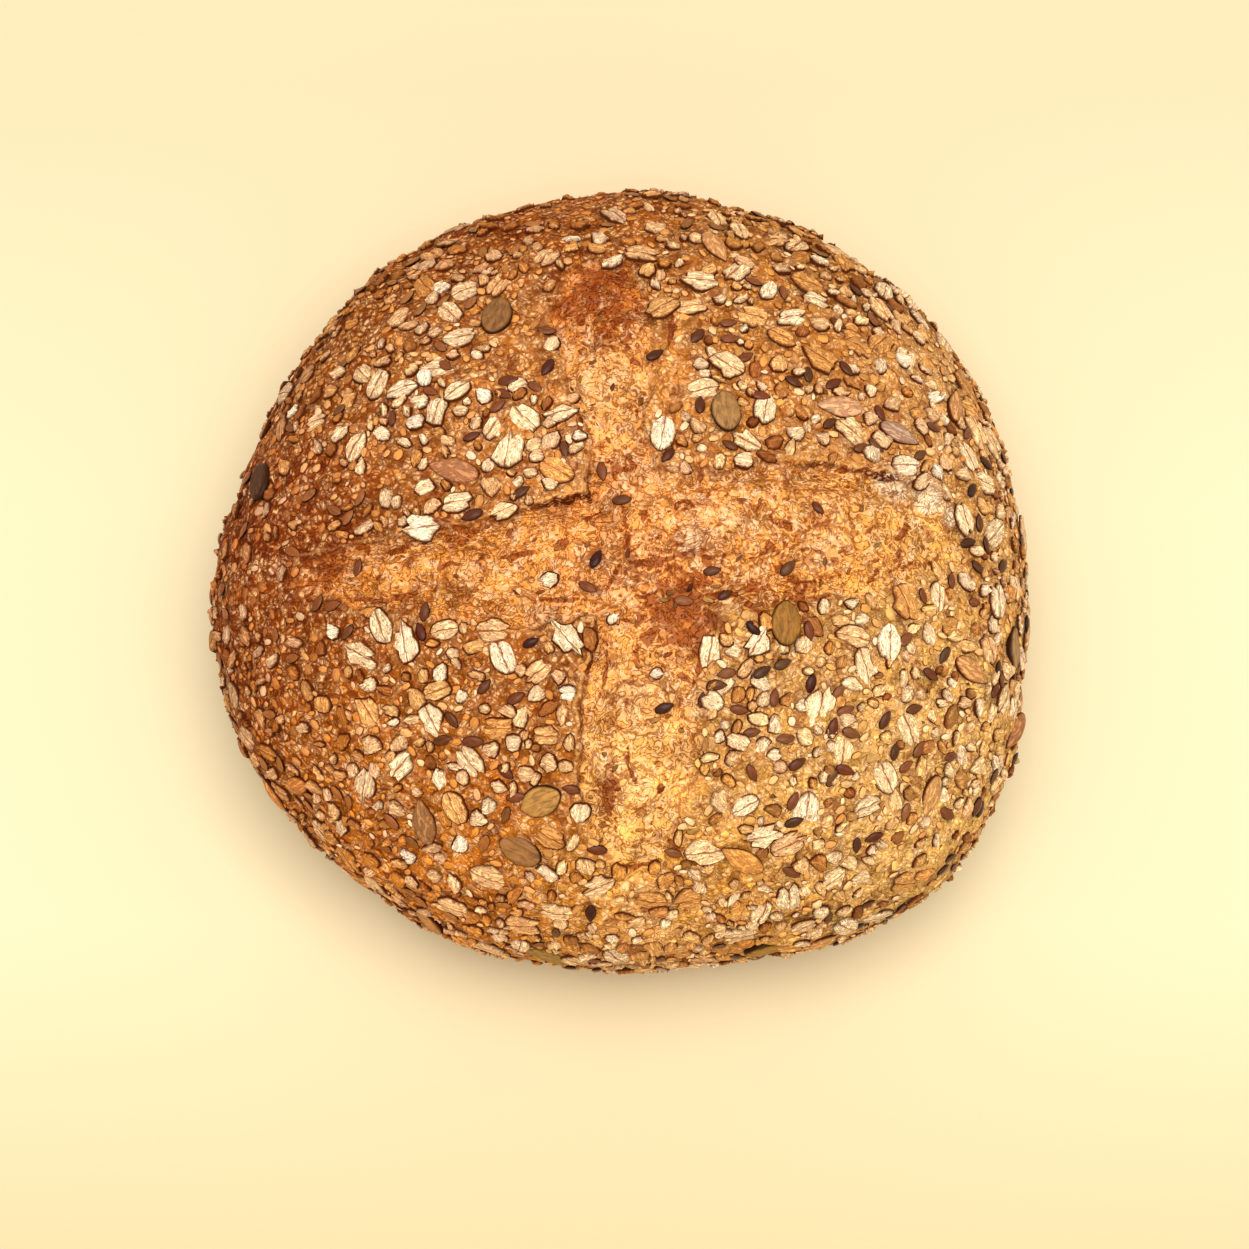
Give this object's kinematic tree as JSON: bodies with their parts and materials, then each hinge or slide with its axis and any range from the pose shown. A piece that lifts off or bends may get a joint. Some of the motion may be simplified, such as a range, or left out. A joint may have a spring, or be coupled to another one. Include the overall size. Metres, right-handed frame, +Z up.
{
  "type": "seeded sourdough loaf",
  "caption": "Round crusty bread loaf on a flat base, opened on top by a cross cut and covered with baked-on oat flakes, linseeds, pumpkin seeds and sunflower kernels.",
  "frame": {"origin": "middle of the flat base, on the surface that the loaf stands on", "axes": "+Z up out of the base through the crown, +X along the longest arm of the cross cut, which is on the right in the picture, and +Y to the picture's top"},
  "size_m": [0.2051, 0.1993, 0.0966],
  "materials": {
    "crust": "matt golden-brown baked crust, with cream, tan and dark brown grain baked onto it"
  },
  "bodies": {
    "root": {"loaf": "crust"}
  },
  "joints": []
}
